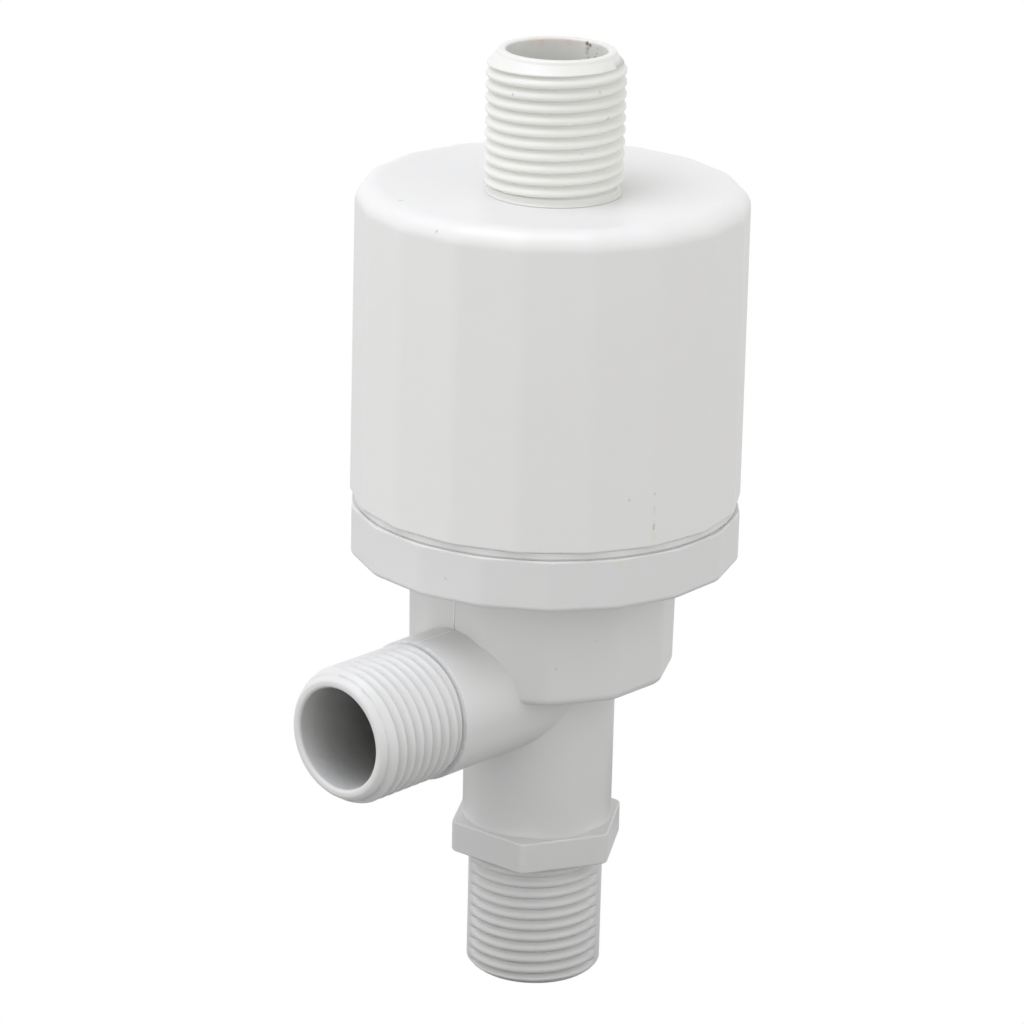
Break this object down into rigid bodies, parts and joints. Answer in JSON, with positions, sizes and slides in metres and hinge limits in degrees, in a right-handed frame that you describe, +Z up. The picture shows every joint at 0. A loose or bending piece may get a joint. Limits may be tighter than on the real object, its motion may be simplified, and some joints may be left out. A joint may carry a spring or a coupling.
{
  "type": "float valve",
  "caption": "White plastic pilot-operated float valve with a top tube inlet, a side inlet, a bottom outlet nipple and a many-sided float housing.",
  "frame": {"origin": "on the plane of the outlet end, under the middle of the valve's outline seen from above; the main axis stands 7.56 mm behind it, at X 0, Y +0.00756", "axes": "+Z up the main axis, from the outlet end to the top inlet; -Y along the side inlet, outwards; +X to the right when the side inlet faces the viewer"},
  "size_m": [0.0598, 0.0748, 0.1469],
  "materials": {
    "white_plastic": "satin moulded, white",
    "inner_plastic": "satin moulded, natural acetal",
    "float_foam": "closed-cell foam, fine beads",
    "black_rubber": "matt black rubber",
    "stainless_steel": "fine turned stainless steel",
    "brass": "turned brass"
  },
  "bodies": {
    "housing": {"float_cover": "white_plastic", "base_flange": "white_plastic", "valve_body": "white_plastic", "top_inlet_tube": "white_plastic", "outlet_nipple": "white_plastic", "nipple_oring": "black_rubber", "bonnet": "inner_plastic", "bonnet_oring": "black_rubber", "tube_gasket": "black_rubber", "seat_ring": "stainless_steel", "pilot_nozzle": "brass", "lever_bracket": "stainless_steel", "bracket_screw_1": "stainless_steel", "bracket_screw_2": "stainless_steel", "lever_pin": "stainless_steel"},
    "float": {"ring_float": "float_foam", "float_link": "inner_plastic", "link_pin": "stainless_steel"},
    "lever": {"pilot_lever": "inner_plastic", "pilot_pad": "black_rubber"},
    "piston": {"piston": "inner_plastic", "piston_seal": "black_rubber", "seat_disc": "black_rubber", "seat_retainer": "stainless_steel", "retainer_screw": "stainless_steel", "piston_spring": "stainless_steel"}
  },
  "joints": [
    {"name": "float_slide", "type": "slide", "parent": "housing", "child": "float", "axis": [0, 0, 1], "range_m": [0, 0.00764]},
    {"name": "lever_pivot", "type": "hinge", "parent": "housing", "child": "lever", "pos_m": [-0.0075, 0.02256, 0.087], "axis": [0, -1, 0], "range_deg": [0, 20.01]},
    {"name": "piston_slide", "type": "slide", "parent": "housing", "child": "piston", "axis": [0, 0, 1], "range_m": [0, 0.005], "deforming": ["piston_spring"]}
  ],
  "couplings": [
    {"joint": "lever_pivot", "follows": "float_slide", "rad_per_m": 45.686}
  ]
}
